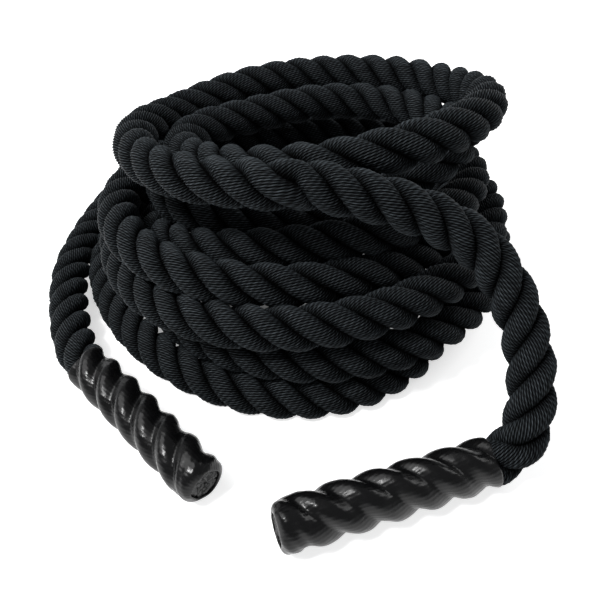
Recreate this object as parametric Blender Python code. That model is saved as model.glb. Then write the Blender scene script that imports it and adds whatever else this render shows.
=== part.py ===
"""Battle rope: a thick three strand rope lying in a coil, with a shrunk on grip sleeve on each end.

Metres, +Z up, the rope rests on z = 0 and the photograph looks along +Y.
"""

import math

import bmesh
import bpy
import numpy as np

# Driving dimensions
ROPE_DIAMETER = 0.038
LAY_GROOVE = 0.002
LAY_LENGTH = 0.089
SLEEVE_LENGTH = 0.170
SLEEVE_WALL = 0.0016
TOUCH_GAP = 0.0003

# The plain tube that stands for the rope where its strands aren't modelled one by one
FORM_DIAMETER = ROPE_DIAMETER - LAY_GROOVE
ROPE_RADIUS = ROPE_DIAMETER / 2
BORE_CREST_RADIUS = ROPE_RADIUS + TOUCH_GAP
SLEEVE_HEIGHT = BORE_CREST_RADIUS + SLEEVE_WALL + TOUCH_GAP

# The coil's loops, one row for each whole turn where the rope passes the front of the coil:
# centre x, centre y, height, half width, half depth, skew, fall to the back, fall to the right
LOOPS = [
    (0.032, -0.006, 0.216, 0.204, 0.154, 0.000, 0.004, 0.032),
    (0.022, 0.006, 0.174, 0.138, 0.126, -0.004, -0.026, 0.016),
    (0.022, 0.016, 0.146, 0.160, 0.144, 0.020, -0.006, 0.010),
    (0.022, 0.006, 0.098, 0.162, 0.110, 0.022, -0.024, 0.018),
    (-0.006, -0.012, 0.098, 0.164, 0.150, 0.028, -0.018, -0.020),
    (0.008, 0.026, 0.084, 0.198, 0.218, 0.016, -0.008, 0.002),
    (0.024, -0.002, 0.046, 0.182, 0.196, 0.016, -0.006, -0.008),
    (-0.030, -0.010, 0.028, 0.174, 0.190, -0.024, 0.014, -0.004),
    (-0.064, -0.006, -0.012, 0.214, 0.160, -0.040, -0.016, 0.014),
]
COIL_START_TURN = 0.05
COIL_END_TURN = 7.45

# Where a loop lies off its ellipse: the turn and how many turns it takes to fade, then how far it lies
# off there to the right, to the back and upwards
LEAN_TURNS = [
    (0.33, 0.08), (0.52, 0.08), (0.68, 0.08), (1.44, 0.11), (1.70, 0.09), (2.00, 0.08),
    (2.78, 0.07), (3.00, 0.12), (4.00, 0.12), (5.00, 0.12), (6.10, 0.12),
]
LEANS = [
    (-0.002, -0.006, -0.012), (0.000, 0.004, -0.008), (-0.004, 0.004, -0.008),
    (0.000, -0.042, 0.014), (-0.014, -0.034, -0.006), (0.000, 0.028, -0.040),
    (-0.012, 0.000, 0.000), (0.000, -0.009, 0.010), (0.000, 0.006, 0.003),
    (0.000, 0.004, 0.003), (0.000, 0.010, 0.005),
]

# The rope's free stretches: from the right sleeve's mouth up to the coil, and from the coil, behind it
# where the photograph doesn't reach, to the left sleeve's mouth
RIGHT_ROUTE = [
    (0.1485, -0.2715, SLEEVE_HEIGHT), (0.1620, -0.2668, 0.0245), (0.1740, -0.2600, 0.0335),
    (0.1815, -0.2460, 0.0480), (0.1840, -0.2280, 0.0660), (0.1820, -0.2100, 0.0860),
    (0.1745, -0.1930, 0.1080), (0.1610, -0.1780, 0.1320), (0.1400, -0.1660, 0.1550),
    (0.1130, -0.1600, 0.1720), (0.0780, -0.1580, 0.1870), (0.0400, -0.1560, 0.1970),
    (0.0040, -0.1520, 0.2020),
]
LEFT_ROUTE = [
    (0.0200, 0.1580, 0.0190), (0.0800, 0.1700, 0.0190), (0.1250, 0.2150, 0.0190),
    (0.1350, 0.2800, 0.0190), (0.0950, 0.3350, 0.0190), (0.0200, 0.3580, 0.0190),
    (-0.0600, 0.3540, 0.0190), (-0.1300, 0.3180, 0.0190), (-0.1840, 0.2620, 0.0190),
    (-0.2180, 0.2000, 0.0190), (-0.2400, 0.1380, 0.0190), (-0.2505, 0.0800, 0.0190),
    (-0.2545, 0.0300, 0.0190), (-0.2540, -0.0100, 0.0190), (-0.2460, -0.0530, 0.0190),
    (-0.2310, -0.0980, 0.0190), (-0.2170, -0.1310, 0.0190), (-0.2045, -0.1530, 0.0200),
    (-0.1916, -0.1680, SLEEVE_HEIGHT),
]
RIGHT_SLEEVE_HEADING = math.radians(198.7)
LEFT_SLEEVE_HEADING = math.radians(-45.3)
RIGHT_LAY_ANGLE = math.radians(60)
LEFT_LAY_ANGLE = 0.0
BOX_CENTRE = (-0.0224, 0.0186)

# How the rope beds in on itself where its loops meet, and how near the floor its middle comes
POINT_STEP = 0.0125
COIL_STEP_COUNT = 4
TAIL_STEP_COUNT = 2
BED_CLEARANCE = 0.0022
LEAST_SPACING = FORM_DIAMETER + BED_CLEARANCE
FLAT_CENTRE = 0.4 * ROPE_DIAMETER
FLAT_FADE = 0.150
BED_ROUNDS = 300
BED_SHARE = 0.4
BED_SPREAD = 0.150
BED_SKIP = 9 * ROPE_DIAMETER
END_FADE = 0.100

ROPE_COLOUR = (0.020, 0.020, 0.022, 1.0)
END_COLOUR = (0.035, 0.035, 0.038, 1.0)
SLEEVE_COLOUR = (0.008, 0.008, 0.009, 1.0)


def clear_scene():
    """Empties the scene and makes the two collections."""
    for thing in list(bpy.data.objects):
        bpy.data.objects.remove(thing, do_unlink=True)
    part = bpy.data.collections.new("battle_rope")
    cutters = bpy.data.collections.new("cutters")
    for group in (part, cutters):
        bpy.context.scene.collection.children.link(group)
    return part, cutters


def material(name, colour, roughness):
    """A plain Principled material."""
    made = bpy.data.materials.new(name)
    made.use_nodes = True
    shader = made.node_tree.nodes["Principled BSDF"]
    shader.inputs["Base Color"].default_value = colour
    shader.inputs["Roughness"].default_value = roughness
    shader.inputs["Metallic"].default_value = 0.0
    return made


def on_smooth_curve(rows, places):
    """Values at places between the rows of a table, on a smooth curve through them."""
    table = np.array(rows)
    before = 2 * table[0] - table[1]
    after = 2 * table[-1] - table[-2]
    ends = np.vstack([before, table, after])
    index = np.clip(np.floor(places).astype(int), 0, len(table) - 2)
    part = (places - index)[:, None]
    a, b, c, d = (ends[index + step] for step in range(4))
    square = 2 * a - 5 * b + 4 * c - d
    cube = 3 * b - a - 3 * c + d
    return 0.5 * (2 * b + (c - a) * part + square * part**2 + cube * part**3)


def coil_curve(turns):
    """The loops: each a tilted ellipse that changes slowly into the next one below."""
    x, y, z, width, depth, skew, back, right = on_smooth_curve(LOOPS, turns).T
    sine = np.sin(2 * math.pi * turns)
    cosine = np.cos(2 * math.pi * turns)
    across = x - width * sine
    along = y - depth * cosine - skew * sine
    height = z - back * cosine - right * sine
    curve = np.stack([across, along, height], axis=1)
    for (turn, spread), lean in zip(LEAN_TURNS, LEANS):
        curve += np.exp(-0.5 * ((turns - turn) / spread) ** 2)[:, None] * np.array(lean)
    return curve


def rope_route():
    """Evenly spaced points along the whole rope, and the places where its coil starts and ends."""
    coil = coil_curve(np.linspace(COIL_START_TURN, COIL_END_TURN, 1500))
    right_rows = RIGHT_ROUTE + [tuple(coil[0]), tuple(coil[25])]
    left_rows = [tuple(coil[-25]), tuple(coil[-1])] + LEFT_ROUTE
    right = on_smooth_curve(right_rows, np.linspace(0, len(right_rows) - 2, 400))[:-1]
    left = on_smooth_curve(left_rows, np.linspace(1, len(left_rows) - 1, 900))[1:]
    whole = np.concatenate([right, coil, left])
    steps = np.linalg.norm(np.diff(whole, axis=0), axis=1)
    lengths = np.concatenate([[0], np.cumsum(steps)])
    count = round(lengths[-1] / POINT_STEP)
    places = np.linspace(0, lengths[-1], count + 1)
    points = np.stack([np.interp(places, lengths, whole[:, axis]) for axis in range(3)], axis=1)
    start = round(lengths[len(right)] / lengths[-1] * count)
    end = round(lengths[len(right) + len(coil) - 1] / lengths[-1] * count)
    return points, start, end


def bed_in(points, end):
    """Moves the rope apart wherever two of its loops come nearer than the rope's own thickness."""
    index = np.arange(len(points))
    flatness = np.clip((end - index) * POINT_STEP / FLAT_FADE, 0, 1)
    floor = ROPE_RADIUS + (FLAT_CENTRE - ROPE_RADIUS) * flatness
    spread = round(BED_SPREAD / POINT_STEP)
    reach = np.arange(-3 * spread, 3 * spread + 1)
    weights = np.exp(-0.5 * (reach / spread) ** 2)
    lower, upper = np.triu_indices(len(points), round(BED_SKIP / POINT_STEP))
    for _ in range(BED_ROUNDS):
        apart = points[upper] - points[lower]
        distance = np.linalg.norm(apart, axis=1)
        near = distance < LEAST_SPACING
        if not near.any():
            break
        push = apart[near] / distance[near][:, None] * (LEAST_SPACING - distance[near])[:, None]
        total = np.zeros_like(points)
        count = np.zeros(len(points))
        np.add.at(total, upper[near], push)
        np.add.at(total, lower[near], -push)
        np.add.at(count, upper[near], 1)
        np.add.at(count, lower[near], 1)
        total /= np.maximum(count, 1)[:, None]
        touching = np.maximum(np.convolve(count > 0, weights, "same"), 1)
        for axis in range(3):
            points[:, axis] += BED_SHARE * np.convolve(total[:, axis], weights, "same") / touching
        points[:, 2] = np.maximum(points[:, 2], floor)
    return points


def least_gap(points):
    """The least gap between a tube's own loops, from points on its straight pieces."""
    parts = [points[:-1] * (1 - share) + points[1:] * share for share in (0, 0.25, 0.5, 0.75)]
    dense = np.stack(parts, axis=1).reshape(-1, 3)
    skip = round(BED_SKIP / np.linalg.norm(dense[1] - dense[0]))
    lower, upper = np.triu_indices(len(dense), skip)
    return float(np.linalg.norm(dense[upper] - dense[lower], axis=1).min()) - FORM_DIAMETER


def placed(points):
    """Route points in the part's own frame, whose origin is under the middle of its box."""
    return np.asarray(points) - np.array([*BOX_CENTRE, 0.0])


def heading_between(start, end):
    """The unit direction from one point to another."""
    return (end - start) / np.linalg.norm(end - start)


def path_curve(name, points, tilts=None, radii=None):
    """A straight sided curve object through points."""
    data = bpy.data.curves.new(name, "CURVE")
    data.dimensions = "3D"
    data.use_fill_caps = True
    spline = data.splines.new("POLY")
    spline.points.add(len(points) - 1)
    for number, point in enumerate(points):
        spline.points[number].co = (*point, 1.0)
        spline.points[number].tilt = tilts[number] if tilts is not None else 0.0
        spline.points[number].radius = radii[number] if radii is not None else 1.0
    return bpy.data.objects.new(name, data)


def mesh_from_curve(curve, group, made_of=None):
    """Turns a curve object into a closed mesh object of the same name and place."""
    group.objects.link(curve)
    bpy.context.view_layer.update()
    shape = curve.evaluated_get(bpy.context.evaluated_depsgraph_get())
    mesh = bpy.data.meshes.new_from_object(shape)
    place = curve.matrix_world.copy()
    name = curve.name
    bpy.data.objects.remove(curve, do_unlink=True)
    work = bmesh.new()
    work.from_mesh(mesh)
    bmesh.ops.remove_doubles(work, verts=work.verts, dist=1e-6)
    bmesh.ops.recalc_face_normals(work, faces=work.faces)
    work.to_mesh(mesh)
    work.free()
    mesh.materials.clear()
    if made_of is not None:
        mesh.materials.append(made_of)
    made = bpy.data.objects.new(name, mesh)
    made.matrix_world = place
    group.objects.link(made)
    return made


def into_group(thing, group):
    """Moves an object into one collection."""
    for owner in list(thing.users_collection):
        owner.objects.unlink(thing)
    group.objects.link(thing)


def cut_away(body, cutter):
    """Cuts a closed mesh out of a body with a Boolean modifier."""
    cutter.display_type = "WIRE"
    cutter.hide_render = True
    cut = body.modifiers.new(cutter.name, "BOOLEAN")
    cut.operation = "DIFFERENCE"
    cut.solver = "EXACT"
    cut.object = cutter


def rope_tube(name, points, sides, group, made_of):
    """A plain tube along the rope: sides is the curve's bevel resolution."""
    curve = path_curve(name, placed(points))
    curve.data.bevel_depth = FORM_DIAMETER / 2
    curve.data.bevel_resolution = sides
    return mesh_from_curve(curve, group, made_of)


def coil(points, group, cutters, made_of):
    """The wound rope: one unbroken tube, cut flat where it stands on the floor."""
    made = rope_tube("rope_coil", points, 1, group, made_of)
    reach = 2 * np.abs(placed(points)).max() + ROPE_DIAMETER
    bpy.ops.mesh.primitive_cube_add(size=1)
    block = bpy.context.object
    block.name = "floor_block"
    block.scale = (reach, reach, ROPE_DIAMETER)
    block.location = (0, 0, -ROPE_DIAMETER / 2)
    into_group(block, cutters)
    cut_away(made, block)
    return made


def straight_end(points, heading, run):
    """Points whose first stretch runs straight for run, with the shift that this takes faded out."""
    along = np.arange(len(points)) * POINT_STEP
    straight = points[0] + heading * along[:, None]
    last = round(run / POINT_STEP)
    shift = straight[last] - points[last]
    fade = np.clip(1 - (along - along[last]) / END_FADE, 0, 1)
    eased = points + shift * (fade * fade * (3 - 2 * fade))[:, None]
    eased[: last + 1] = straight[: last + 1]
    return eased


def tail(name, coil_heading, mouth_heading, points, group, made_of):
    """A free stretch of rope, from the coil's end face to a sleeve's mouth, with a small gap at both."""
    eased = straight_end(points, coil_heading, ROPE_DIAMETER)
    eased = straight_end(eased[::-1], -mouth_heading, POINT_STEP)[::-1]
    route = np.vstack([eased[:-2:TAIL_STEP_COUNT], eased[-2:]])
    route[0] += coil_heading * TOUCH_GAP
    route[-1] -= mouth_heading * TOUCH_GAP
    return rope_tube(name, route, 2, group, made_of)


# The grips' own sizes: how far apart the sections are that turn with the rope's lay, three round strands
# that touch each other but for a gap, the lobes that they press into the sleeve, and the free end, where
# the sleeve folds in over the cut strands
STATION_STEP = 0.005
STRAND_SIDES = 8
STRAND_GAP = 0.0005
STRAND_RADIUS = (ROPE_RADIUS - TOUCH_GAP - STRAND_GAP / math.sqrt(3)) / (1 + 2 / math.sqrt(3))
STRAND_CENTRE = ROPE_RADIUS - TOUCH_GAP - STRAND_RADIUS
LOBE_DEPTH = 0.00225
SLEEVE_SIDES = 30
LIP_DEPTH = 0.0052
LIP_THICKNESS = 0.0028
LIP_OPENING_RADIUS = 0.0115
LIP_OPENING_SIDES = 24
LIP_ROUNDING_SHARES = [(0.62, 0.97), (0.27, 0.91), (0.0, 0.82)]
BORE_END_SHARE = 0.90


def lobed_outline(wall):
    """The three lobed outline of the shrunk sleeve: its bore, or its outside where wall is added."""
    outline = []
    for number in range(SLEEVE_SIDES):
        angle = 2 * math.pi * number / SLEEVE_SIDES
        radius = BORE_CREST_RADIUS + wall - LOBE_DEPTH * (1 - math.cos(3 * angle))
        outline.append((radius * math.cos(angle), radius * math.sin(angle)))
    return outline


def strand_outline(number):
    """The round section of one strand, off the rope's middle."""
    around = 2 * math.pi * number / 3
    outline = []
    for side in range(STRAND_SIDES):
        angle = around + 2 * math.pi * side / STRAND_SIDES
        across = STRAND_CENTRE * math.cos(around) + STRAND_RADIUS * math.cos(angle)
        up = STRAND_CENTRE * math.sin(around) + STRAND_RADIUS * math.sin(angle)
        outline.append((across, up))
    return outline


def twisted_bar(name, outline, stations, scales, grip, group, made_of=None):
    """A closed outline swept along the grip's axis while it turns with the rope's lay."""
    section_data = bpy.data.curves.new(name + "_section", "CURVE")
    spline = section_data.splines.new("POLY")
    spline.points.add(len(outline) - 1)
    for number, (across, up) in enumerate(outline):
        spline.points[number].co = (across, up, 0.0, 1.0)
    spline.use_cyclic_u = True
    section = bpy.data.objects.new(name + "_section", section_data)
    mouth, heading, lay_angle = grip
    tilts = [lay_angle + 2 * math.pi * station / LAY_LENGTH for station in stations]
    bar = path_curve(name, [(station, 0.0, 0.0) for station in stations], tilts, scales)
    bar.data.bevel_mode = "OBJECT"
    bar.data.bevel_object = section
    bar.location = mouth
    bar.rotation_euler = (0.0, 0.0, heading)
    made = mesh_from_curve(bar, group, made_of)
    bpy.data.objects.remove(section, do_unlink=True)
    return made


def even_stations(start, stop):
    """Places along the grip, close enough together for the lay's twist and the same for every piece."""
    first = math.ceil(start / STATION_STEP + 0.5)
    last = math.floor(stop / STATION_STEP - 0.5)
    return [start] + [STATION_STEP * number for number in range(first, last + 1)] + [stop]


def sleeve(side, grip, group, cutters, made_of):
    """A shrunk grip sleeve: a lobed tube that follows the strands, folded in at its free end."""
    mouth, heading, _ = grip
    straight = even_stations(0.0, SLEEVE_LENGTH - LIP_DEPTH)
    stations = straight + [SLEEVE_LENGTH - LIP_DEPTH * share for share, _ in LIP_ROUNDING_SHARES]
    scales = [1.0] * len(straight) + [scale for _, scale in LIP_ROUNDING_SHARES]
    name = side + "_grip_sleeve"
    body = twisted_bar(name, lobed_outline(SLEEVE_WALL), stations, scales, grip, group, made_of)
    straight = even_stations(-STATION_STEP, SLEEVE_LENGTH - LIP_DEPTH + TOUCH_GAP)
    stations = straight + [SLEEVE_LENGTH - LIP_THICKNESS]
    scales = [1.0] * len(straight) + [BORE_END_SHARE]
    cut_away(body, twisted_bar(side + "_bore", lobed_outline(0.0), stations, scales, grip, cutters))
    bpy.ops.mesh.primitive_cylinder_add(
        vertices=LIP_OPENING_SIDES, radius=LIP_OPENING_RADIUS, depth=2 * LIP_DEPTH, end_fill_type="NGON"
    )
    opening = bpy.context.object
    opening.name = side + "_lip_opening"
    opening.rotation_euler = (0.0, math.pi / 2, heading)
    end_x = mouth[0] + SLEEVE_LENGTH * math.cos(heading)
    end_y = mouth[1] + SLEEVE_LENGTH * math.sin(heading)
    opening.location = (end_x, end_y, mouth[2])
    into_group(opening, cutters)
    cut_away(body, opening)
    return body


def strands(side, grip, group, made_of):
    """The rope's three strands inside a sleeve, cut square at the end."""
    stations = even_stations(TOUCH_GAP, SLEEVE_LENGTH - LIP_DEPTH)
    scales = [1.0] * len(stations)
    for number in range(3):
        name = f"{side}_grip_strand_{number + 1}"
        twisted_bar(name, strand_outline(number), stations, scales, grip, group, made_of)


def build():
    """Makes every sub-part."""
    part, cutters = clear_scene()
    rope = material("rope", ROPE_COLOUR, 0.85)
    cut_end = material("cut_end", END_COLOUR, 0.55)
    vinyl = material("sleeve", SLEEVE_COLOUR, 0.22)
    points, start, end = rope_route()
    points = bed_in(points, end)
    loops = points[start : end + 1 : COIL_STEP_COUNT]
    end = start + COIL_STEP_COUNT * (len(loops) - 1)
    print(f"rope_coil: {len(loops)} points, least gap to itself {1000 * least_gap(loops):.2f} mm")
    print(f"rope: {(len(points) - 1) * POINT_STEP + 2 * SLEEVE_LENGTH:.2f} m in all")
    coil(loops, part, cutters, rope)
    right_heading = heading_between(loops[1], loops[0])
    left_heading = heading_between(loops[-2], loops[-1])
    stretches = [
        ("right", right_heading, points[start::-1], RIGHT_SLEEVE_HEADING, RIGHT_LAY_ANGLE),
        ("left", left_heading, points[end:], LEFT_SLEEVE_HEADING, LEFT_LAY_ANGLE),
    ]
    for side, coil_heading, stretch, heading, lay_angle in stretches:
        mouth_heading = np.array([math.cos(heading), math.sin(heading), 0.0])
        tail(side + "_tail", coil_heading, mouth_heading, stretch, part, rope)
        grip = (placed(stretch[-1]), heading, lay_angle)
        sleeve(side, grip, part, cutters, vinyl)
        strands(side, grip, part, cut_end)


build()
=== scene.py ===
import math

import bpy
import numpy as np
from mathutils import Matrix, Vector


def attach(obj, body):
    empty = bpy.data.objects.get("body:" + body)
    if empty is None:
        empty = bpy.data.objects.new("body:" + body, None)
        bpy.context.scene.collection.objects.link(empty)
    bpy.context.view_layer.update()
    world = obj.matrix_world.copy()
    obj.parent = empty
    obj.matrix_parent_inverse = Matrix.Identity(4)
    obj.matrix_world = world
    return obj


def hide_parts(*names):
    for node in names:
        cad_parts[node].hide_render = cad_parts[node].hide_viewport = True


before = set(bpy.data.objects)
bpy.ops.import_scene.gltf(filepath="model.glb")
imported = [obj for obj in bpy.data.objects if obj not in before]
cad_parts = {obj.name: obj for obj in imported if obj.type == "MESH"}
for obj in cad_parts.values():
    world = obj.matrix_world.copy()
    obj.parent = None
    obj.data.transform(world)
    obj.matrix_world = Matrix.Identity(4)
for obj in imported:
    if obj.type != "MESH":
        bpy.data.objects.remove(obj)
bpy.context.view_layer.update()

# The camera stands where the photograph was taken from, in front of the coil and above it, looking down at
# 40 degrees. Its place is given from the coil's axis on the floor, as the rope's own route is.
BOX_CENTRE = (-0.0224, 0.0186)
CAMERA_BEHIND = 0.549
CAMERA_HEIGHT = 0.421
CAMERA_PITCH = math.radians(40)
CAMERA_LENS = 35.64
CAMERA_SENSOR = 36

camera = bpy.data.objects.new("camera", bpy.data.cameras.new("camera"))
camera.data.lens = CAMERA_LENS
camera.data.sensor_width = CAMERA_SENSOR
camera.data.clip_start = 0.01
camera.location = (-BOX_CENTRE[0], -CAMERA_BEHIND - BOX_CENTRE[1], CAMERA_HEIGHT)
camera.rotation_euler = (math.pi / 2 - CAMERA_PITCH, 0, 0)
bpy.context.scene.collection.objects.link(camera)
bpy.context.scene.camera = camera
bpy.context.scene.view_settings.view_transform = "Standard"

# The rope lies in seven and a half loops that lean and shift on each other. One end comes down in front to
# the right grip. The other runs out behind the pile and back along its left side to the left grip.
ROPE_DIAMETER = 0.038
SLEEVE_HEIGHT = 0.0212
LOOPS = [  # centre x, centre y, height, half width, half depth, skew, fall to the back, fall to the right
    (0.032, -0.006, 0.216, 0.204, 0.154, 0.000, 0.004, 0.032),
    (0.022, 0.006, 0.174, 0.138, 0.126, -0.004, -0.026, 0.016),
    (0.022, 0.016, 0.146, 0.160, 0.144, 0.020, -0.006, 0.010),
    (0.022, 0.006, 0.098, 0.162, 0.110, 0.022, -0.024, 0.018),
    (-0.006, -0.012, 0.098, 0.164, 0.150, 0.028, -0.018, -0.020),
    (0.008, 0.026, 0.084, 0.198, 0.218, 0.016, -0.008, 0.002),
    (0.024, -0.002, 0.046, 0.182, 0.196, 0.016, -0.006, -0.008),
    (-0.030, -0.010, 0.028, 0.174, 0.190, -0.024, 0.014, -0.004),
    (-0.064, -0.006, -0.012, 0.214, 0.160, -0.040, -0.016, 0.014),
]
COIL_START_TURN = 0.05
COIL_END_TURN = 7.45
COIL_POINTS = 1500
LEAN_TURNS = [  # where a loop leans out of its ellipse, in turns from the top, and over how many turns
    (0.33, 0.08), (0.52, 0.08), (0.68, 0.08), (1.44, 0.11), (1.70, 0.09), (2.00, 0.08),
    (2.78, 0.07), (3.00, 0.12), (4.00, 0.12), (5.00, 0.12), (6.10, 0.12),
]
LEANS = [  # and how far it leans there
    (-0.002, -0.006, -0.012), (0.000, 0.004, -0.008), (-0.004, 0.004, -0.008),
    (0.000, -0.042, 0.014), (-0.014, -0.034, -0.006), (0.000, 0.028, -0.040),
    (-0.012, 0.000, 0.000), (0.000, -0.009, 0.010), (0.000, 0.006, 0.003),
    (0.000, 0.004, 0.003), (0.000, 0.010, 0.005),
]
RIGHT_POINTS = 400
RIGHT_ROUTE = [  # from the right grip's mouth up to the coil
    (0.1485, -0.2715, SLEEVE_HEIGHT), (0.1620, -0.2668, 0.0245), (0.1740, -0.2600, 0.0335),
    (0.1815, -0.2460, 0.0480), (0.1840, -0.2280, 0.0660), (0.1820, -0.2100, 0.0860),
    (0.1745, -0.1930, 0.1080), (0.1610, -0.1780, 0.1320), (0.1400, -0.1660, 0.1550),
    (0.1130, -0.1600, 0.1720), (0.0780, -0.1580, 0.1870), (0.0400, -0.1560, 0.1970),
    (0.0040, -0.1520, 0.2020),
]
LEFT_POINTS = 900
LEFT_ROUTE = [  # from the coil, behind it and round its left side, to the left grip's mouth
    (0.0200, 0.1580, 0.0190), (0.0800, 0.1700, 0.0190), (0.1250, 0.2150, 0.0190),
    (0.1350, 0.2800, 0.0190), (0.0950, 0.3350, 0.0190), (0.0200, 0.3580, 0.0190),
    (-0.0600, 0.3540, 0.0190), (-0.1300, 0.3180, 0.0190), (-0.1840, 0.2620, 0.0190),
    (-0.2180, 0.2000, 0.0190), (-0.2400, 0.1380, 0.0190), (-0.2505, 0.0800, 0.0190),
    (-0.2545, 0.0300, 0.0190), (-0.2540, -0.0100, 0.0190), (-0.2460, -0.0530, 0.0190),
    (-0.2310, -0.0980, 0.0190), (-0.2170, -0.1310, 0.0190), (-0.2045, -0.1530, 0.0200),
    (-0.1916, -0.1680, SLEEVE_HEIGHT),
]
JOIN_POINTS = 25
RIGHT_SLEEVE_HEADING = math.radians(198.7)
LEFT_SLEEVE_HEADING = math.radians(-45.3)
SLEEVE_LENGTH = 0.175
LIP_DEPTH = 0.017
POINT_STEP = 0.0125
LEAST_SPACING = 0.0382
FLAT_CENTRE = 0.4 * ROPE_DIAMETER
FLAT_FADE = 0.150
BED_ROUNDS = 300
BED_SHARE = 0.4
BED_SPREAD = 0.150
BED_SKIP = 9 * ROPE_DIAMETER


def on_smooth_curve(rows, places):
    """Values at places between the rows of a table, on a smooth curve through them."""
    table = np.array(rows)
    ends = np.vstack([2 * table[0] - table[1], table, 2 * table[-1] - table[-2]])
    index = np.clip(np.floor(places).astype(int), 0, len(table) - 2)
    part = (places - index)[:, None]
    a, b, c, d = (ends[index + step] for step in range(4))
    square = 2 * a - 5 * b + 4 * c - d
    cube = 3 * b - a - 3 * c + d
    return 0.5 * (2 * b + (c - a) * part + square * part**2 + cube * part**3)


def coil_curve(turns):
    """The loops: each a tilted ellipse that changes slowly into the next one below."""
    x, y, z, width, depth, skew, back, right = on_smooth_curve(LOOPS, turns).T
    sine = np.sin(2 * math.pi * turns)
    cosine = np.cos(2 * math.pi * turns)
    across = x - width * sine
    along = y - depth * cosine - skew * sine
    height = z - back * cosine - right * sine
    curve = np.stack([across, along, height], axis=1)
    for (turn, spread), lean in zip(LEAN_TURNS, LEANS):
        curve += np.exp(-0.5 * ((turns - turn) / spread) ** 2)[:, None] * np.array(lean)
    return curve


def evenly(points, step):
    """Points about step apart along a line, and the line's length up to each of its own points."""
    steps = np.linalg.norm(np.diff(points, axis=0), axis=1)
    lengths = np.concatenate([[0], np.cumsum(steps)])
    places = np.linspace(0, lengths[-1], round(lengths[-1] / step) + 1)
    return np.stack([np.interp(places, lengths, points[:, axis]) for axis in range(3)], axis=1), lengths


def rope_route():
    """Evenly spaced points along the whole rope, and the place where its coil ends."""
    coil = coil_curve(np.linspace(COIL_START_TURN, COIL_END_TURN, COIL_POINTS))
    right_rows = RIGHT_ROUTE + [tuple(coil[0]), tuple(coil[JOIN_POINTS])]
    left_rows = [tuple(coil[-JOIN_POINTS]), tuple(coil[-1])] + LEFT_ROUTE
    right = on_smooth_curve(right_rows, np.linspace(0, len(right_rows) - 2, RIGHT_POINTS))[:-1]
    left = on_smooth_curve(left_rows, np.linspace(1, len(left_rows) - 1, LEFT_POINTS))[1:]
    points, lengths = evenly(np.concatenate([right, coil, left]), POINT_STEP)
    end = round(lengths[len(right) + len(coil) - 1] / lengths[-1] * (len(points) - 1))
    return points, end


def bed_in(points, end):
    """Moves the rope apart wherever two of its loops come nearer than the rope's own thickness."""
    index = np.arange(len(points))
    flatness = np.clip((end - index) * POINT_STEP / FLAT_FADE, 0, 1)
    floor = ROPE_DIAMETER / 2 + (FLAT_CENTRE - ROPE_DIAMETER / 2) * flatness
    spread = round(BED_SPREAD / POINT_STEP)
    reach = np.arange(-3 * spread, 3 * spread + 1)
    weights = np.exp(-0.5 * (reach / spread) ** 2)
    lower, upper = np.triu_indices(len(points), round(BED_SKIP / POINT_STEP))
    for _ in range(BED_ROUNDS):
        apart = points[upper] - points[lower]
        distance = np.linalg.norm(apart, axis=1)
        near = distance < LEAST_SPACING
        if not near.any():
            break
        push = apart[near] / distance[near][:, None] * (LEAST_SPACING - distance[near])[:, None]
        total = np.zeros_like(points)
        count = np.zeros(len(points))
        np.add.at(total, upper[near], push)
        np.add.at(total, lower[near], -push)
        np.add.at(count, upper[near], 1)
        np.add.at(count, lower[near], 1)
        total /= np.maximum(count, 1)[:, None]
        touching = np.maximum(np.convolve(count > 0, weights, "same"), 1)
        for axis in range(3):
            points[:, axis] += BED_SHARE * np.convolve(total[:, axis], weights, "same") / touching
        points[:, 2] = np.maximum(points[:, 2], floor)
    return points


def grip_axis(end, heading):
    """Points along a grip, from its mouth to the cut end of the rope in it."""
    along = np.arange(POINT_STEP, SLEEVE_LENGTH - LIP_DEPTH, POINT_STEP)
    along = np.append(along, SLEEVE_LENGTH - LIP_DEPTH)
    return end + along[:, None] * np.array([math.cos(heading), math.sin(heading), 0.0])


route = bed_in(*rope_route()) - np.array([*BOX_CENTRE, 0.0])
right_mouth, left_mouth = route[0], route[-1]
right_axis = grip_axis(right_mouth, RIGHT_SLEEVE_HEADING)
left_axis = grip_axis(left_mouth, LEFT_SLEEVE_HEADING)
route = np.vstack([right_axis[::-1], route, left_axis])

# The rope itself: three strands laid right-handed, each of seventeen black yarns at its surface, which are
# twisted the other way and cross every crest. The strands press together, and flatten on the floor.
LAY_LENGTH = 0.089
STRAND_CENTRE = 0.0107
STRAND_RADIUS = 0.0091
STRAND_WIDENING = 1.04
YARN_COUNT = 17
YARN_DEPTH = 0.0015
YARN_TWIST = 1.3
YARN_DRIFT = 0.15
YARN_DRIFT_RINGS = 6
YARN_BLACK = (0.0245, 0.0290, 0.0325)
YARN_GLOSS = 0.09
PLY_LENGTH = 0.0026
FIBRE_GRAIN = (5.0, 300.0, 1.0)
DYE_GRAIN = (0.9, 14.0, 1.0)
RING_STEP = 0.0025
FINE_POINTS = 8
FLOOR_GAP = 0.0002
BAKE_STRIPS = 9
CREST_AT_MOUTH = math.radians(60)
THIRD_TURN = 2 * math.pi / 3
HIDDEN_FROM = 7.9
HIDDEN_TO = 8.7
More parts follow.
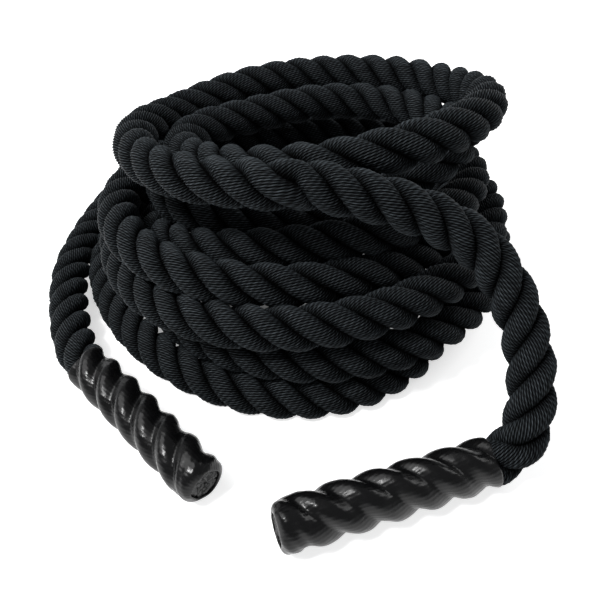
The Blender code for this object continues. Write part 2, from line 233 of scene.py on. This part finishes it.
SETTLED = [  # metres along the rope, reach, and how far it has settled there across, along and up
    (0.83, 0.04, 0.0, 0.0, -0.003), (1.15, 0.04, 0.0, 0.0, -0.002), (1.48, 0.08, 0.0, 0.0, -0.006),
    (1.70, 0.04, -0.003, 0.003, 0.004), (1.82, 0.06, 0.0, 0.003, 0.004), (1.98, 0.05, 0.0, 0.0, 0.003),
    (2.34, 0.07, 0.0, 0.0, -0.006), (3.10, 0.10, 0.0, 0.0, -0.003), (3.27, 0.04, 0.0, 0.0, 0.002),
    (3.96, 0.06, 0.0, 0.0, 0.003), (4.10, 0.08, 0.0, 0.0, -0.003), (5.12, 0.08, 0.0, 0.0, 0.003),
    (5.28, 0.08, 0.0, 0.0, 0.002), (6.64, 0.08, 0.0, 0.0, -0.002), (7.76, 0.07, 0.0, 0.004, 0.0),
    (7.97, 0.06, -0.004, 0.0, 0.0), (9.17, 0.07, 0.002, 0.0, 0.0),
]
TURNED = [  # metres along the rope, degrees that the lay is turned by there
    (0.16, 0), (0.40, 8), (0.45, 13), (0.50, 22), (0.57, 28), (0.62, 10), (0.84, 18), (0.96, 21),
    (1.05, 40), (1.15, 58), (1.39, 108), (1.45, 95), (1.50, 80), (1.56, 56), (3.13, 90), (3.24, 98),
    (3.97, 74), (4.02, 36), (4.08, 10), (4.18, 18), (7.50, 38), (7.56, 38), (7.61, 64), (7.67, 83),
]


def frames_along(points):
    """Directions along, across and up at each point of a line, turning no more than the line itself does."""
    ahead = np.gradient(points, axis=0)
    ahead /= np.linalg.norm(ahead, axis=1)[:, None]
    across = np.zeros_like(ahead)
    first = np.cross((0, 0, 1), ahead[0])
    across[0] = first / np.linalg.norm(first)
    for place in range(1, len(points)):
        level = across[place - 1] - ahead[place] * (across[place - 1] @ ahead[place])
        across[place] = level / math.sqrt(level @ level)
    return ahead, across, np.cross(ahead, across)


def strand_points(line, frames, phases, seed):
    """Rings of points round one strand, a valley and a crest to each yarn, and how far out each faces."""
    ahead, across, up = frames
    angle = phases[:, None]
    out = np.cos(angle) * across + np.sin(angle) * up
    round_it = np.cos(angle) * up - np.sin(angle) * across
    rate = np.gradient(phases)[:, None] / np.linalg.norm(np.gradient(line, axis=0), axis=1)[:, None]
    along = ahead + STRAND_CENTRE * rate * round_it
    along /= np.linalg.norm(along, axis=1)[:, None]
    side = np.cross(along, out)
    middle = line + STRAND_CENTRE * out
    columns = 2 * YARN_COUNT
    slant = YARN_TWIST * (STRAND_CENTRE + STRAND_RADIUS) / STRAND_RADIUS
    slant *= math.sqrt(1 + (2 * math.pi * STRAND_CENTRE / LAY_LENGTH) ** 2)
    turn = np.arange(columns)[None, :] * (2 * math.pi / columns) - slant * phases[:, None]
    chance = np.random.default_rng(seed)
    places = np.arange(len(line)) / YARN_DRIFT_RINGS
    low = places.astype(int)
    share = (places - low)[:, None]
    wander = chance.normal(0, 1, (low[-1] + 2, YARN_COUNT))
    drift = wander[low] * (1 - share) + wander[low + 1] * share
    radius = np.full((len(line), columns), STRAND_RADIUS - YARN_DEPTH)
    radius[:, 1::2] += YARN_DEPTH * (1 + YARN_DRIFT * drift)
    high = radius * np.cos(turn)
    wide = radius * np.sin(turn) * STRAND_WIDENING
    places = middle[:, None] + high[..., None] * out[:, None] + wide[..., None] * side[:, None]
    return places, np.cos(turn)


def ring_mesh(name, sheets, creased):
    """A mesh of tubes from sheets of points, each rings by columns and closed round."""
    places = []
    faces = []
    creases = []
    yarns = []
    strips = []
    first = 0
    strip_count = BAKE_STRIPS * len(sheets)
    for number, sheet in enumerate(sheets):
        rings, columns = sheet.shape[:2]
        grid = first + np.arange(rings * columns).reshape(rings, columns)
        after = np.roll(grid, -1, axis=1)
        faces.append(np.stack([grid[:-1], after[:-1], after[1:], grid[1:]], axis=2).reshape(-1, 4))
        creases.append(np.stack([grid[:-1, ::2], grid[1:, ::2]], axis=2).reshape(-1, 2))
        across = np.arange(columns + 1) / columns
        u = np.stack([across[:-1], across[1:], across[1:], across[:-1]], axis=1)
        u = np.broadcast_to(u[None], (rings - 1, columns, 4))
        ring = np.arange(rings - 1)
        v = np.stack([ring, ring, ring + 1, ring + 1], axis=1)
        v = np.broadcast_to(v[:, None], (rings - 1, columns, 4))
        yarns.append(np.stack([(u + number) * columns / 2, v * RING_STEP], axis=3).reshape(-1, 2))
        strip = (ring * BAKE_STRIPS) // (rings - 1)
        strip_rings = math.ceil((rings - 1) / BAKE_STRIPS)
        foot = -((-strip * (rings - 1)) // BAKE_STRIPS)
        column = (number * BAKE_STRIPS + strip)[:, None, None]
        strip_u = (column + 0.02 + 0.96 * u) / strip_count
        strip_v = 0.001 + 0.998 * (v - foot[:, None, None]) / strip_rings
        strips.append(np.stack([strip_u, strip_v], axis=3).reshape(-1, 2))
        places.append(sheet.reshape(-1, 3))
        first += rings * columns
    places = np.concatenate(places)
    faces = np.concatenate(faces)
    mesh = bpy.data.meshes.new(name)
    mesh.vertices.add(len(places))
    mesh.vertices.foreach_set("co", places.astype(np.float32).ravel())
    mesh.loops.add(faces.size)
    mesh.loops.foreach_set("vertex_index", faces.astype(np.int32).ravel())
    mesh.polygons.add(len(faces))
    mesh.polygons.foreach_set("loop_start", np.arange(0, faces.size, 4, dtype=np.int32))
    mesh.update(calc_edges=True)
    mesh.shade_smooth()
    if creased:
        ends = np.zeros(2 * len(mesh.edges), np.int32)
        mesh.edges.foreach_get("vertices", ends)
        ends = np.sort(ends.reshape(-1, 2), axis=1).astype(np.int64)
        wanted = np.sort(np.concatenate(creases), axis=1).astype(np.int64)
        keys = ends[:, 0] * len(places) + ends[:, 1]
        sharp = np.isin(keys, wanted[:, 0] * len(places) + wanted[:, 1])
        mesh.attributes.new("sharp_edge", "BOOLEAN", "EDGE").data.foreach_set("value", sharp)
    for layer_name, coordinates in (("OFBake", strips), ("yarns", yarns)):
        layer = mesh.uv_layers.new(name=layer_name)
        layer.uv.foreach_set("vector", np.concatenate(coordinates).astype(np.float32).ravel())
    made = bpy.data.objects.new(name, mesh)
    bpy.context.scene.collection.objects.link(made)
    return made


class Nodes:
    """A short way to wire the nodes of a material or of the room."""

    def __init__(self, name, kind="materials", shader="Principled BSDF"):
        self.owner = getattr(bpy.data, kind).new(name)
        self.owner.use_nodes = True
        self.tree = self.owner.node_tree
        self.shader = self.tree.nodes[shader]

    def add(self, kind, values, output=0, **settings):
        """Adds a node with its settings and inputs, and gives back one of its outputs."""
        node = self.tree.nodes.new(kind)
        for setting, value in settings.items():
            setattr(node, setting, value)
        for socket, value in values.items():
            self.put(node.inputs[socket], value)
        return node.outputs[output]

    def put(self, socket, value):
        """Links an output to a socket, or sets the socket's value."""
        if isinstance(value, bpy.types.NodeSocket):
            self.tree.links.new(value, socket)
        else:
            socket.default_value = value

    def set(self, **values):
        """Sets the shader's inputs; an underscore stands for a space."""
        for socket, value in values.items():
            self.put(self.shader.inputs[socket.replace("_", " ")], value)

    def noise(self, vector, stretch, detail=2.0):
        """Noise whose grain is stretched by three scales."""
        scaled = self.add("ShaderNodeVectorMath", {0: vector, 1: stretch}, operation="MULTIPLY")
        return self.add("ShaderNodeTexNoise", {"Vector": scaled, "Scale": 1.0, "Detail": detail})

    def remap(self, value, low, high, to_low, to_high):
        """A value's range made into another range."""
        inputs = {"Value": value, "From Min": low, "From Max": high, "To Min": to_low, "To Max": to_high}
        return self.add("ShaderNodeMapRange", inputs)

    def math(self, operation, first, second=0.0):
        """Arithmetic on two values."""
        return self.add("ShaderNodeMath", {0: first, 1: second}, operation=operation)


def yarn_material():
    """Black yarn: painted shade between the yarns and on the strands' inward sides, painted highlights on
    the yarn crests, painted light and shade along the ply twist, fine fibres on them and dye that is uneven
    from yarn to yarn.
    """
    made = Nodes("black_yarn")
    yarns = made.add("ShaderNodeUVMap", {}, uv_map="yarns")
    split = made.tree.nodes.new("ShaderNodeSeparateXYZ")
    made.put(split.inputs[0], yarns)
    across, along = split.outputs[0], split.outputs[1]
    crest = made.math("ABSOLUTE", made.math("SINE", made.math("MULTIPLY", across, math.pi)))
    ply = made.math("ADD", made.math("MULTIPLY", along, 1 / PLY_LENGTH), across)
    ply = made.math("SINE", made.math("MULTIPLY", ply, 2 * math.pi))
    fibres = made.noise(yarns, FIBRE_GRAIN, 3.0)
    dye = made.noise(yarns, DYE_GRAIN, 1.0)
    facing = made.add("ShaderNodeAttribute", {}, output=2, attribute_name="facing_out")
    # Painted shade and highlight: the colour goes to black in the valleys between yarns and brighter than
    # the yarn's own black on their crests.
    tone_with_painted_light = made.remap(made.math("POWER", crest, 3.0), 0.0, 1.0, 0.0, 1.42)
    # Painted light and shade along the ply twist: lighter on its ridges, darker in the grooves between them,
    # where the bump is low.
    tone_with_painted_light = made.math("MULTIPLY", tone_with_painted_light, made.remap(ply, -1.0, 1.0, 0.30, 1.50))
    tone_with_painted_light = made.math("MULTIPLY", tone_with_painted_light, made.remap(fibres, 0.3, 0.7, 0.5, 1.5))
    tone_with_painted_light = made.math("MULTIPLY", tone_with_painted_light, made.remap(dye, 0.3, 0.7, 0.7, 1.35))
    # Painted shade: the strands' sides that face in towards the rope's middle, where the other strands shade
    # them, are made darker.
    tone_with_painted_light = made.math("MULTIPLY", tone_with_painted_light, made.remap(facing, -0.1, 0.8, 0.05, 1.0))
    colour = made.add("ShaderNodeVectorMath", {0: YARN_BLACK, "Scale": tone_with_painted_light}, operation="SCALE")
    rough = made.remap(made.math("MULTIPLY", crest, facing), 0.3, 0.9, 1.0, 0.52)
    made.set(Base_Color=colour, Roughness=rough, Specular_IOR_Level=YARN_GLOSS)
    height = made.math("ADD", made.math("MULTIPLY", ply, 0.5), fibres)
    made.set(Normal=made.add("ShaderNodeBump", {"Strength": 0.8, "Distance": 0.0004, "Height": height}))
    return made.owner


black_yarn = yarn_material()
fine = on_smooth_curve(route, np.linspace(0, len(route) - 1, FINE_POINTS * len(route)))
rope_line = evenly(fine, RING_STEP)[0]
metres = np.arange(len(rope_line)) * RING_STEP
for place, reach, *shift in SETTLED:
    rope_line += np.exp(-0.5 * ((metres - place) / reach) ** 2)[:, None] * np.array(shift)
rope_frames = frames_along(rope_line)
rope_phases = metres * 2 * math.pi / LAY_LENGTH
grip_rings = round((SLEEVE_LENGTH - LIP_DEPTH) / RING_STEP)
rope_phases += CREST_AT_MOUTH - rope_phases[grip_rings]
turned = np.array(TURNED)
rope_phases += np.radians(np.interp(metres, turned[:, 0], turned[:, 1]))
ahead_of_left, across_left, up_left = (frame_part[-1 - grip_rings] for frame_part in rope_frames)
level_left = np.cross((0, 0, 1), ahead_of_left)
lean_left = math.atan2(level_left @ up_left, level_left @ across_left)
wanted = CREST_AT_MOUTH + lean_left - rope_phases[-1 - grip_rings]
wanted -= THIRD_TURN * round(wanted / THIRD_TURN)
rope_phases += wanted * np.clip((metres - HIDDEN_FROM) / (HIDDEN_TO - HIDDEN_FROM), 0, 1)
sheets = []
facings = []
for number in range(3):
    sheet, facing = strand_points(rope_line, rope_frames, rope_phases + THIRD_TURN * number, number)
    sheet[..., 2] = np.maximum(sheet[..., 2], FLOOR_GAP)
    sheets.append(sheet)
    facings.append(facing)
rope = ring_mesh("rope", sheets, True)
# How far each point faces out of the rope; the yarn material uses it to paint shade on the inward sides.
facing_out = rope.data.attributes.new("facing_out", "FLOAT", "POINT")
facings = np.concatenate([facing.ravel() for facing in facings])
facing_out.data.foreach_set("value", facings.astype(np.float32))
rope.data.materials.append(black_yarn)
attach(rope, "root")
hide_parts("rope_coil", "right_tail", "left_tail")

# The grips: glossy black vinyl tube, slipped over the rope's last 170 mm and shrunk with heat, so that it
# follows the strands. At the free end it has folded in over the cut strands.
SLEEVE_CREST = 0.0209
SLEEVE_GROOVE = 0.0164
SLEEVE_ROUNDING = 0.22
LOBE_FULLNESS = 0.85
SLEEVE_COLUMNS = 180
SLEEVE_STEP = 0.001
COLLAR_RADIUS = 0.0196
COLLAR_FROM = 0.022
COLLAR_TO = 0.012
COLLAR_SHARE = 0.85
WRINKLE_COUNT = 26
WRINKLE_SIZE = 0.0001
WRINKLE_PITCH = 260
VINYL_BLACK = (0.0035, 0.0035, 0.0038, 1)
VINYL_GLOSS = 0.27
CREASE_GRAIN = (130.0, 130.0, 130.0)
SCUFF_GRAIN = (90.0, 90.0, 90.0)
MILLIMETRE = 0.001
MOUTH_RINGS = [  # millimetres from the grip's mouth, and in from its surface
    (10, 0.6), (4, 0.9), (0.5, 1.0), (0, 0.6), (0.2, 0.15),
]
LIP_FROM = 0.008
LIP_RINGS = [  # millimetres back from the grip's end, and in from its surface
    (7.0, 0.1), (5.6, 0.4), (4.2, 0.9), (3.0, 1.6), (2.0, 2.5), (1.1, 3.6), (0.4, 4.8), (0.0, 5.9),
    (0.0, 6.5), (0.4, 6.9), (1.4, 7.1), (3.2, 6.8), (6.0, 5.0),
]
CRESTS_AT_MOUTH = {"right": 0.0, "left": math.radians(60)}


def sleeve_sheet(mouth, heading, crest, seed):
    """Rings of points over a grip: in at the mouth, along the lobes, round the collar and in again."""
    along = np.array([math.cos(heading), math.sin(heading), 0.0])
    across = np.array([-along[1], along[0], 0.0])
    outer = np.arange(SLEEVE_STEP, SLEEVE_LENGTH - LIP_FROM, SLEEVE_STEP)
    from_mouth, mouth_inset = np.array(MOUTH_RINGS).T * MILLIMETRE
    from_end, lip_inset = np.array(LIP_RINGS).T * MILLIMETRE
    stations = np.concatenate([from_mouth, outer, SLEEVE_LENGTH - from_end])
    inset = np.concatenate([mouth_inset, np.zeros(len(outer)), lip_inset])
    angle = np.arange(SLEEVE_COLUMNS)[None, :] * (2 * math.pi / SLEEVE_COLUMNS)
    round_lay = angle - crest - 2 * math.pi * stations[:, None] / LAY_LENGTH
    low = math.sqrt(SLEEVE_ROUNDING)
    lobe = np.sqrt(np.cos(1.5 * round_lay) ** 2 * (1 - SLEEVE_ROUNDING) + SLEEVE_ROUNDING)
    lobe = ((lobe - low) / (1 - low)) ** LOBE_FULLNESS
    radius = SLEEVE_GROOVE + (SLEEVE_CREST - SLEEVE_GROOVE) * lobe
    collar = np.clip((stations - SLEEVE_LENGTH + COLLAR_FROM) / (COLLAR_FROM - COLLAR_TO), 0, 1)[:, None]
    collar = collar * collar * (3 - 2 * collar)
    radius = radius * (1 - COLLAR_SHARE * collar) + COLLAR_RADIUS * COLLAR_SHARE * collar
    chance = np.random.default_rng(seed)
    for _ in range(WRINKLE_COUNT):
        turns = chance.integers(1, 9)
        slant = chance.uniform(-WRINKLE_PITCH, WRINKLE_PITCH) * stations[:, None]
        wave = np.sin(turns * round_lay + slant + chance.uniform(0, 7))
        radius += WRINKLE_SIZE * chance.uniform(0.3, 1.0) * wave * (1.0 - 0.7 * lobe + 1.2 * collar)
    radius -= inset[:, None]
    place = mouth + stations[:, None, None] * along
    place = place + (radius * np.cos(angle))[..., None] * across
    return place + (radius * np.sin(angle))[..., None] * np.array([0.0, 0.0, 1.0])


def vinyl_material():
    """Black vinyl, glossy, with the yarns below showing through as faint ridges, and fine creases."""
    made = Nodes("black_vinyl")
    place = made.add("ShaderNodeTexCoord", {}, output=3)
    yarns = made.add("ShaderNodeUVMap", {}, uv_map="yarns")
    split = made.tree.nodes.new("ShaderNodeSeparateXYZ")
    made.put(split.inputs[0], yarns)
    creases = made.noise(place, CREASE_GRAIN, 4.0)
    scuffs = made.noise(place, SCUFF_GRAIN, 3.0)
    ridges = made.math("MULTIPLY", split.outputs[0], 2.6)
    ridges = made.math("ADD", ridges, made.math("MULTIPLY", creases, 3.0))
    ridges = made.math("ADD", ridges, made.math("MULTIPLY", split.outputs[1], 45.0))
    ridges = made.math("MULTIPLY", made.math("SINE", ridges), 0.10)
    made.set(Base_Color=VINYL_BLACK, Roughness=made.remap(scuffs, 0.35, 0.7, 0.18, 0.34))
    made.set(Specular_IOR_Level=VINYL_GLOSS)
    height = made.math("ADD", ridges, creases)
    made.set(Normal=made.add("ShaderNodeBump", {"Strength": 0.5, "Distance": 0.0006, "Height": height}))
    return made.owner


GRIPS = [("right", right_mouth, RIGHT_SLEEVE_HEADING), ("left", left_mouth, LEFT_SLEEVE_HEADING)]
black_vinyl = vinyl_material()
for seed, (side, mouth, heading) in enumerate(GRIPS):
    sleeve = ring_mesh(side + "_sleeve", [sleeve_sheet(mouth, heading, CRESTS_AT_MOUTH[side], seed)], False)
    sleeve.data.materials.append(black_vinyl)
    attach(sleeve, "root")
    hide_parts(side + "_grip_sleeve")

# The rope's cut ends: the three strands sawn off square just inside each grip's opening, which presses them
# into one round face, and singed, so that the yarns' pale hearts show between tangled dark lines.
CUT_COLUMNS = 60
CUT_RELIEF = 0.0003
CUT_DOME = 0.0012
CUT_SEED = 20
CUT_GLOSS = 0.3
TANGLE_GRAIN = (210.0, 210.0, 210.0)
PLUG_RINGS = [  # back from the grip's end, strand's distance from the middle, its radius, how far pressed
    (0.0180, 0.0100, 0.0088, 0.0), (0.0120, 0.0094, 0.0084, 0.0), (0.0080, 0.0084, 0.0080, 0.2),
    (0.0045, 0.0064, 0.0074, 0.7), (0.0020, 0.0060, 0.0070, 1.0),
]
PRESSED_RADIUS = 0.0122
PRESSED_HALF = math.radians(58)
PRESSED_CORNER = 6.0
FACE_SHARES = [0.97, 0.90, 0.80, 0.70, 0.60, 0.50, 0.40, 0.30, 0.20, 0.10, 0.01]


def cut_sheet(mouth, heading, crest, seed):
    """The end of one strand: it narrows between the others and ends in a rough, slightly domed face."""
    along = np.array([math.cos(heading), math.sin(heading), 0.0])
    across = np.array([-along[1], along[0], 0.0])
    upward = np.array([0.0, 0.0, 1.0])
    back, out, radius, pressed = np.array(PLUG_RINGS + [PLUG_RINGS[-1]] * len(FACE_SHARES)).T
    share = np.concatenate([np.ones(len(PLUG_RINGS)), FACE_SHARES])
    chance = np.random.default_rng(CUT_SEED + seed)
    relief = chance.normal(0, CUT_RELIEF, (len(share), CUT_COLUMNS)) * np.sqrt(share)[:, None]
    relief[:len(PLUG_RINGS)] = 0
    station = SLEEVE_LENGTH - back + CUT_DOME * (1 - share ** 2)
    turn = (crest + 2 * math.pi * station / LAY_LENGTH)[:, None]
    out = out[:, None]
    pressed = pressed[:, None]
    angle = np.arange(CUT_COLUMNS)[None, :] * (2 * math.pi / CUT_COLUMNS)
    edges = [np.sqrt(PRESSED_RADIUS ** 2 - (out * np.sin(angle)) ** 2) - out * np.cos(angle)]
    for hand in (1, -1):
        edges.append(out * math.sin(PRESSED_HALF) / np.maximum(np.sin(hand * angle - PRESSED_HALF), 0.001))
    wedge = sum(edge ** -PRESSED_CORNER for edge in edges) ** (-1 / PRESSED_CORNER)
    radius = (radius[:, None] * (1 - pressed) + wedge * pressed) * share[:, None]
    wide = out * np.cos(turn) + radius * np.cos(angle + turn)
    high = out * np.sin(turn) + radius * np.sin(angle + turn)
    place = mouth + (station[:, None] + relief)[..., None] * along
    return place + wide[..., None] * across + high[..., None] * upward


def cut_material():
    """The singed cut face: dark tangled lines, with the yarns' paler hearts between them."""
    made = Nodes("cut_yarn")
    place = made.add("ShaderNodeTexCoord", {}, output=3)
    tangle = made.noise(place, TANGLE_GRAIN, 2.0)
    line = made.math("ABSOLUTE", made.math("SUBTRACT", tangle, 0.5))
    pale = made.remap(line, 0.012, 0.075, 0.001, 0.12)
    made.set(Base_Color=made.add("ShaderNodeCombineXYZ", {0: pale, 1: pale, 2: pale}), Roughness=0.7)
    made.set(Specular_IOR_Level=CUT_GLOSS)
    made.set(Normal=made.add("ShaderNodeBump", {"Strength": 0.8, "Distance": 0.0006, "Height": tangle}))
    return made.owner


cut_yarn = cut_material()
for side, mouth, heading in GRIPS:
    crests = CRESTS_AT_MOUTH[side] + THIRD_TURN * np.arange(3)
    faces_cut = [cut_sheet(mouth, heading, crest, number) for number, crest in enumerate(crests)]
    cut_end = ring_mesh(side + "_cut_end", faces_cut, False)
    cut_end.data.materials.append(cut_yarn)
    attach(cut_end, "root")
    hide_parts(*[f"{side}_grip_strand_{number}" for number in (1, 2, 3)])

# The room: a sheet of white paper that looks pure white round the coil and keeps its soft shadow, a pale
# horizon, a broad light from the upper left and a small one at the front left that the grips reflect.
FLOOR_SIZE = 12
PAPER_WHITE = (0.9, 0.9, 0.9, 1)
PAPER_GLOW = 0.72
GLOW_FROM = 0.12
GLOW_FULL = 0.24
ROOM_WHITE = (0.97, 0.985, 1, 1)
ROOM_STRENGTH = 0.28
HORIZON_TOP = 0.30
HORIZON_FULL = 0.12


def seen_rays(nodes):
    """One for what the camera sees, straight or in something glossy or clear, and zero for what lights."""
    kinds = ("Is Camera Ray", "Is Glossy Ray", "Is Transmission Ray")
    camera_ray, glossy_ray, clear_ray = (nodes.add("ShaderNodeLightPath", {}, output=kind) for kind in kinds)
    return nodes.math("ADD", nodes.math("ADD", camera_ray, glossy_ray), clear_ray)


bpy.ops.mesh.primitive_plane_add(size=FLOOR_SIZE)
floor = bpy.context.object
floor.name = "floor"
paper = Nodes("paper")
paper.set(Base_Color=PAPER_WHITE, Roughness=1.0, Specular_IOR_Level=0.0, Emission_Color=(1, 1, 1, 1))
where = paper.add("ShaderNodeTexCoord", {}, output=3)
off_centre = paper.add("ShaderNodeVectorMath", {0: where}, output=1, operation="LENGTH")
glow = paper.remap(off_centre, GLOW_FROM, GLOW_FULL, 0.0, PAPER_GLOW)
glow = paper.math("MULTIPLY", seen_rays(paper), glow)
paper.set(Emission_Strength=glow)
floor.data.materials.append(paper.owner)

room = Nodes("room", "worlds", "Background")
bpy.context.scene.world = room.owner
split = room.tree.nodes.new("ShaderNodeSeparateXYZ")
room.put(split.inputs[0], room.add("ShaderNodeTexCoord", {}, output="Generated"))
pale = room.remap(split.outputs[2], HORIZON_FULL, HORIZON_TOP, 1.0 - ROOM_STRENGTH, 0.0)
pale = room.math("MULTIPLY", seen_rays(room), pale)
room.set(Color=ROOM_WHITE, Strength=room.math("ADD", pale, ROOM_STRENGTH))


def lamp(name, place, aim, width, height, power):
    """A soft rectangular lamp that looks at a point."""
    data = bpy.data.lights.new(name, "AREA")
    data.shape = "RECTANGLE"
    data.size = width
    data.size_y = height
    data.energy = power
    made = bpy.data.objects.new(name, data)
    made.location = place
    made.rotation_euler = (Vector(aim) - Vector(place)).to_track_quat("-Z", "Y").to_euler()
    bpy.context.scene.collection.objects.link(made)


lamp("key", (-1.1, 0.0, 1.5), (0, 0, 0.05), 1.5, 1.5, 19)
lamp("right_fill", (1.2, 0.6, 0.9), (0, 0, 0.1), 0.8, 0.8, 6)
lamp("front_light", (-0.75, -0.65, 1.4), (0, -0.2, 0.05), 0.24, 0.34, 15)
